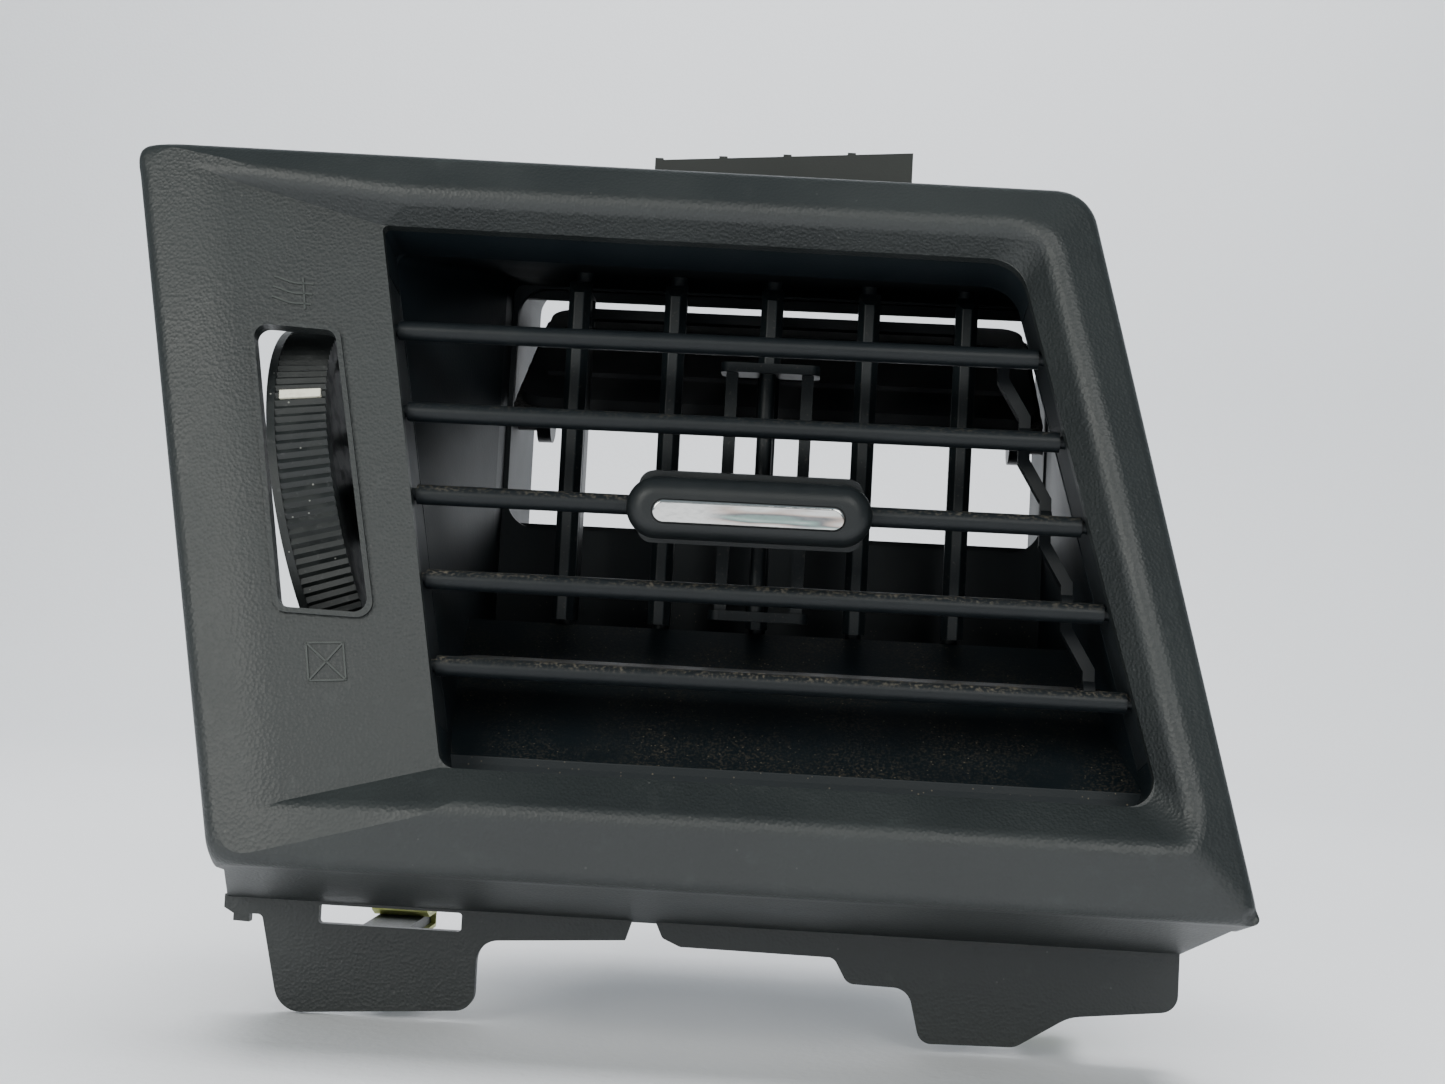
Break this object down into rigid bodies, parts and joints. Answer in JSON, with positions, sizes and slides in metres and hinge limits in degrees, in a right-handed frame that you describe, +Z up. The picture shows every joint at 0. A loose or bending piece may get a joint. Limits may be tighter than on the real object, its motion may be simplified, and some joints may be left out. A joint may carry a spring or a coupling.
{
  "type": "dashboard air vent",
  "caption": "Slanted dashboard air vent with a leaning bezel, level front vanes, upright rear vanes, a sliding knob and a ribbed thumb wheel that works a damper.",
  "frame": {"origin": "centre of the rear collar's end face", "axes": "+Y out of the collar, away from the bezel, along the duct; +Z up; the vent faces -Y and its thumb wheel is on the -X side"},
  "size_m": [0.2002, 0.133, 0.1687],
  "materials": {
    "bezel": "fine leather grain",
    "housing": "moulded, satin",
    "strip": "moulded",
    "vane": "satin",
    "knob": "satin black",
    "trim": "satin chrome",
    "pad": "soft",
    "wheel": "ribbed soft touch",
    "mark": "moulded",
    "damper": "moulded",
    "foam": "closed cell foam",
    "seal": "soft seal",
    "clip": "yellow passivated spring steel",
    "screw": "zinc plated"
  },
  "bodies": {
    "frame": {"bezel": "bezel", "housing": "housing", "left_pivot_strip": "strip", "right_pivot_strip": "strip", "wheel_axle": "screw", "duct_seal": "seal", "housing_screws": "screw", "retaining_clip_1": "clip", "retaining_clip_2": "clip", "retaining_clip_3": "clip", "retaining_clip_4": "clip"},
    "knob": {"knob_shell": "knob", "knob_trim": "trim", "knob_pad": "pad", "knob_fork": "knob"},
    "front_link": {"front_vane_link": "strip"},
    "rear_link": {"rear_vane_link": "strip"},
    "wheel": {"thumb_wheel": "wheel", "wheel_mark": "mark"},
    "damper": {"damper_plate": "damper", "damper_foam": "foam", "damper_lever": "damper"},
    "rod": {"damper_rod": "damper"},
    "front_1": {"front_vane_1": "vane"},
    "front_2": {"front_vane_2": "vane"},
    "front_3": {"front_vane_3": "vane"},
    "front_4": {"front_vane_4": "vane"},
    "front_5": {"front_vane_5": "vane"},
    "rear_1": {"rear_vane_1": "vane"},
    "rear_2": {"rear_vane_2": "vane"},
    "rear_3": {"rear_vane_3": "vane"},
    "rear_4": {"rear_vane_4": "vane"},
    "rear_5": {"rear_vane_5": "vane"}
  },
  "joints": [
    {"name": "tilt_1", "type": "hinge", "parent": "frame", "child": "front_1", "pos_m": [-0.001, -0.10576, 0.00584], "axis": [1, 0, 0], "range_deg": [-20, 20]},
    {"name": "tilt_2", "type": "hinge", "parent": "frame", "child": "front_2", "pos_m": [-0.001, -0.10888, -0.00883], "axis": [1, 0, 0], "range_deg": [-20, 20]},
    {"name": "tilt_3", "type": "hinge", "parent": "frame", "child": "front_3", "pos_m": [-0.001, -0.112, -0.0235], "axis": [1, 0, 0], "range_deg": [-20, 20]},
    {"name": "tilt_4", "type": "hinge", "parent": "frame", "child": "front_4", "pos_m": [-0.001, -0.11512, -0.03817], "axis": [1, 0, 0], "range_deg": [-20, 20]},
    {"name": "tilt_5", "type": "hinge", "parent": "frame", "child": "front_5", "pos_m": [-0.001, -0.11824, -0.05284], "axis": [1, 0, 0], "range_deg": [-20, 20]},
    {"name": "front_link_swing", "type": "hinge", "parent": "front_3", "child": "front_link", "pos_m": [0.0495, -0.10305, -0.02256], "axis": [1, 0, 0], "range_deg": [-20, 20]},
    {"name": "knob_slide", "type": "slide", "parent": "front_3", "child": "knob", "axis": [1, 0, 0], "range_m": [-0.007, 0.007]},
    {"name": "swing_1", "type": "hinge", "parent": "frame", "child": "rear_1", "pos_m": [-0.0378, -0.072, 0], "axis": [0, 0, 1], "range_deg": [-35, 35]},
    {"name": "swing_2", "type": "hinge", "parent": "frame", "child": "rear_2", "pos_m": [-0.0194, -0.072, 0], "axis": [0, 0, 1], "range_deg": [-35, 35]},
    {"name": "swing_3", "type": "hinge", "parent": "frame", "child": "rear_3", "pos_m": [-0.001, -0.072, 0], "axis": [0, 0, 1], "range_deg": [-35, 35]},
    {"name": "swing_4", "type": "hinge", "parent": "frame", "child": "rear_4", "pos_m": [0.0174, -0.072, 0], "axis": [0, 0, 1], "range_deg": [-35, 35]},
    {"name": "swing_5", "type": "hinge", "parent": "frame", "child": "rear_5", "pos_m": [0.0358, -0.072, 0], "axis": [0, 0, 1], "range_deg": [-35, 35]},
    {"name": "rear_link_swing", "type": "hinge", "parent": "rear_3", "child": "rear_link", "pos_m": [-0.001, -0.0615, 0.0173], "axis": [0, 0, 1], "range_deg": [-35, 35]},
    {"name": "wheel_turn", "type": "hinge", "parent": "frame", "child": "wheel", "pos_m": [-0.07684, -0.0837, -0.0259], "axis": [0.9727, -0.0271, 0.2304], "range_deg": [0, 60]},
    {"name": "damper_turn", "type": "hinge", "parent": "frame", "child": "damper", "pos_m": [0, -0.0223, 0], "axis": [1, 0, 0], "range_deg": [0, 60]},
    {"name": "rod_swing", "type": "hinge", "parent": "wheel", "child": "rod", "pos_m": [-0.0729, -0.08219, -0.0103], "axis": [0.9727, -0.0271, 0.2304], "range_deg": [-60, 0]}
  ],
  "couplings": [
    {"joint": "tilt_1", "follows": "tilt_3", "ratio": 1},
    {"joint": "tilt_2", "follows": "tilt_3", "ratio": 1},
    {"joint": "tilt_4", "follows": "tilt_3", "ratio": 1},
    {"joint": "tilt_5", "follows": "tilt_3", "ratio": 1},
    {"joint": "front_link_swing", "follows": "tilt_3", "ratio": -1},
    {"joint": "swing_1", "follows": "knob_slide", "rad_per_m": 87},
    {"joint": "swing_2", "follows": "knob_slide", "rad_per_m": 87},
    {"joint": "swing_3", "follows": "knob_slide", "rad_per_m": 87},
    {"joint": "swing_4", "follows": "knob_slide", "rad_per_m": 87},
    {"joint": "swing_5", "follows": "knob_slide", "rad_per_m": 87},
    {"joint": "rear_link_swing", "follows": "knob_slide", "rad_per_m": -87},
    {"joint": "damper_turn", "follows": "wheel_turn", "ratio": 1},
    {"joint": "rod_swing", "follows": "wheel_turn", "ratio": -1}
  ]
}
